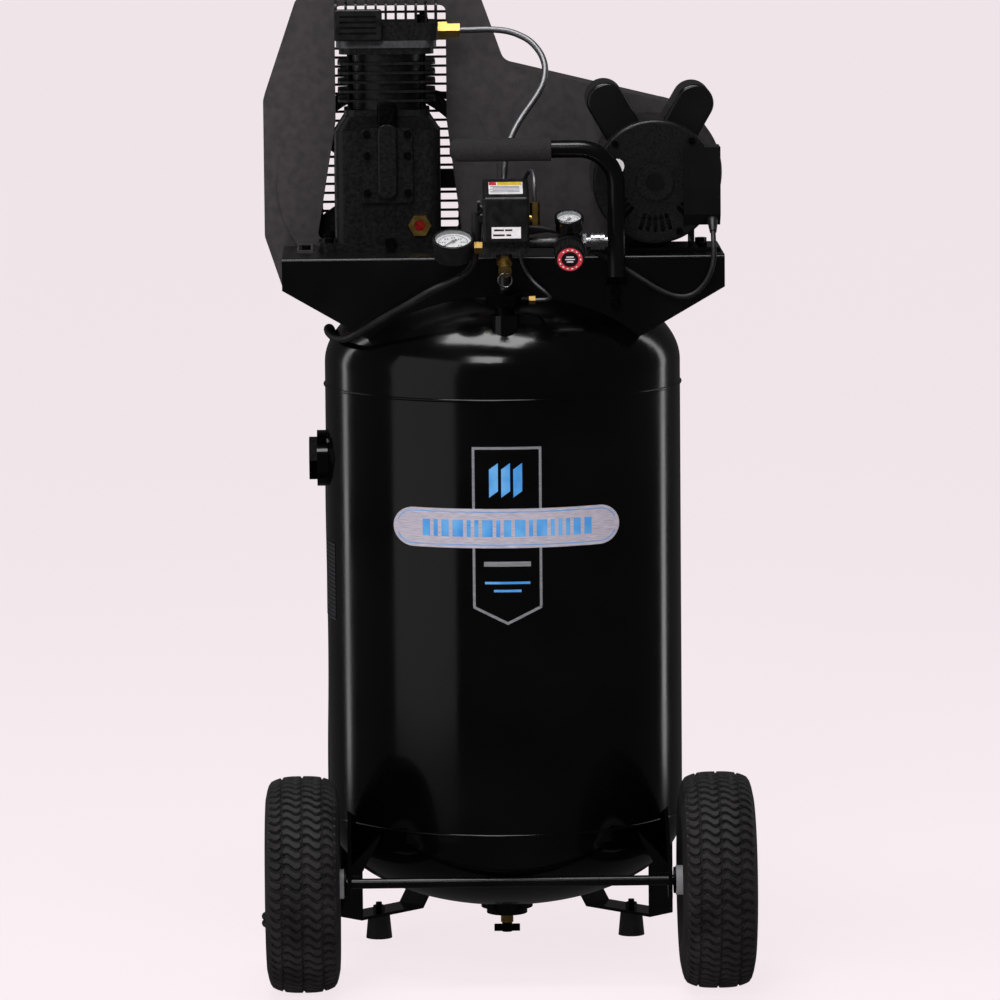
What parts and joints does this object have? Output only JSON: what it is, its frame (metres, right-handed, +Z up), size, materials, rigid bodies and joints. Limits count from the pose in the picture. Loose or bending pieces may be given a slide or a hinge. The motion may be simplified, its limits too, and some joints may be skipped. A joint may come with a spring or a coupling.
{
  "type": "portable air compressor",
  "caption": "Upright portable belt-drive air compressor: dished tank, piston pump, motor, guarded belt, wheels, gauges, regulator and a power lead.",
  "frame": {"origin": "on the floor under the middle of the machine's box, without its power lead", "axes": "+X to the right of someone facing the gauges and handle, -Y towards them, +Z up along the tank"},
  "size_m": [0.6225, 0.6353, 1.223],
  "materials": {
    "tank_enamel": "gloss",
    "frame_enamel": "satin",
    "plated_steel": "satin",
    "rubber_black": "matt",
    "tyre_rubber": "matt",
    "rim_enamel": "satin",
    "handle_enamel": "gloss",
    "grip_foam": "foam",
    "pump_casting": "painted casting",
    "head_alloy": "painted casting",
    "black_plastic": "matt",
    "knob_plastic": "satin",
    "sight_plastic": "clear red",
    "plug_steel": "satin",
    "belt_rubber": "matt",
    "motor_core": "laminated",
    "brass": "machined",
    "air_tube": "drawn",
    "gauge_case": "satin",
    "gauge_glass": "clear",
    "needle_paint": "matt"
  },
  "bodies": {
    "machine": {"tank_shell": "tank_enamel", "tank_top_head": "tank_enamel", "tank_bottom_head": "tank_enamel", "platform": "frame_enamel", "axle_brackets": "tank_enamel", "axle_rod": "plated_steel", "rear_foot_straps": "tank_enamel", "rubber_feet": "rubber_black", "handle_tube": "handle_enamel", "handle_grip": "grip_foam", "crankcase": "pump_casting", "crankcase_cover": "pump_casting", "cylinder": "pump_casting", "valve_plate": "plated_steel", "cylinder_head": "head_alloy", "intake_filter": "black_plastic", "pump_bolts": "plated_steel", "sight_glass": "sight_plastic", "pipe_plugs": "plug_steel", "piston": "head_alloy", "bearings": "plated_steel", "drive_belt": "belt_rubber", "belt_guard_front": "frame_enamel", "belt_guard_back": "frame_enamel", "motor_shell": "frame_enamel", "motor_end_bells": "frame_enamel", "stator": "motor_core", "motor_covers": "black_plastic", "check_valve": "plated_steel", "manifold": "plated_steel", "switch_cover": "black_plastic", "regulator_body": "head_alloy", "tank_gauge": "gauge_case", "outlet_gauge": "gauge_case", "gauge_lenses": "gauge_glass", "outlet_coupler": "brass", "brass_fittings": "brass", "air_tubes": "air_tube", "cord_glands": "rubber_black", "motor_cord": "rubber_black", "power_cord": "rubber_black", "power_cord_coil": "rubber_black", "power_plug": "black_plastic", "frame_bolts": "plated_steel"},
    "left_wheel": {"left_tyre": "tyre_rubber", "left_rim": "rim_enamel"},
    "right_wheel": {"right_tyre": "tyre_rubber", "right_rim": "rim_enamel"},
    "crank": {"crankshaft": "plated_steel", "flywheel": "pump_casting"},
    "rod": {"connecting_rod": "plated_steel"},
    "motor_shaft": {"motor_rotor": "motor_core", "motor_pulley": "pump_casting"},
    "tank_needle": {"tank_gauge_needle": "needle_paint"},
    "outlet_needle": {"outlet_gauge_needle": "needle_paint"},
    "regulator_handwheel": {"regulator_knob": "knob_plastic"},
    "on_off_lever": {"switch_lever": "black_plastic"},
    "relief_pull": {"relief_ring": "plated_steel"},
    "coupler_collar": {"coupler_sleeve": "plated_steel"},
    "drain_wing": {"drain_handle": "plated_steel"}
  },
  "joints": [
    {"name": "left_wheel_spin", "type": "hinge", "parent": "machine", "child": "left_wheel", "pos_m": [-0.258, -0.1515, 0.135], "axis": [1, 0, 0], "continuous": true},
    {"name": "right_wheel_spin", "type": "hinge", "parent": "machine", "child": "right_wheel", "pos_m": [0.258, -0.1515, 0.135], "axis": [1, 0, 0], "continuous": true},
    {"name": "crank_spin", "type": "hinge", "parent": "machine", "child": "crank", "pos_m": [-0.143, 0.1195, 0.99], "axis": [0, 1, 0], "continuous": true},
    {"name": "rod_swing", "type": "hinge", "parent": "crank", "child": "rod", "pos_m": [-0.143, 0.0695, 1.01], "axis": [0, 1, 0], "continuous": true},
    {"name": "motor_spin", "type": "hinge", "parent": "machine", "child": "motor_shaft", "pos_m": [0.191, 0.0595, 0.999], "axis": [0, 1, 0], "continuous": true},
    {"name": "tank_needle_turn", "type": "hinge", "parent": "machine", "child": "tank_needle", "pos_m": [-0.063, -0.1295, 0.939], "axis": [0, -0.4067, 0.9135], "range_deg": [-270, 0]},
    {"name": "outlet_needle_turn", "type": "hinge", "parent": "machine", "child": "outlet_needle", "pos_m": [0.08, -0.13955, 0.9658], "axis": [0, -0.4067, 0.9135], "range_deg": [-270, 0]},
    {"name": "regulator_turn", "type": "hinge", "parent": "machine", "child": "regulator_handwheel", "pos_m": [0.08, -0.1245, 0.932], "axis": [0, -0.9272, -0.3746], "range_deg": [-720, 720]},
    {"name": "switch_lever_turn", "type": "hinge", "parent": "machine", "child": "on_off_lever", "pos_m": [-0.03, -0.1245, 0.975], "axis": [1, 0, 0], "range_deg": [0, 35]},
    {"name": "relief_pull_out", "type": "slide", "parent": "machine", "child": "relief_pull", "axis": [0, -0.9272, -0.3746], "range_m": [0, 0.003], "stiffness_N_per_m": 1500, "springref_m": -0.002},
    {"name": "coupler_collar_back", "type": "slide", "parent": "machine", "child": "coupler_collar", "axis": [-1, 0, 0], "range_m": [0, 0.005], "stiffness_N_per_m": 1500, "springref_m": -0.002},
    {"name": "drain_turn", "type": "hinge", "parent": "machine", "child": "drain_wing", "pos_m": [0, 0.0595, 0.038], "axis": [0, 0, 1], "range_deg": [0, 720]}
  ],
  "couplings": [
    {"joint": "rod_swing", "follows": "crank_spin", "ratio": -1},
    {"joint": "motor_spin", "follows": "crank_spin", "ratio": 3.6048}
  ]
}
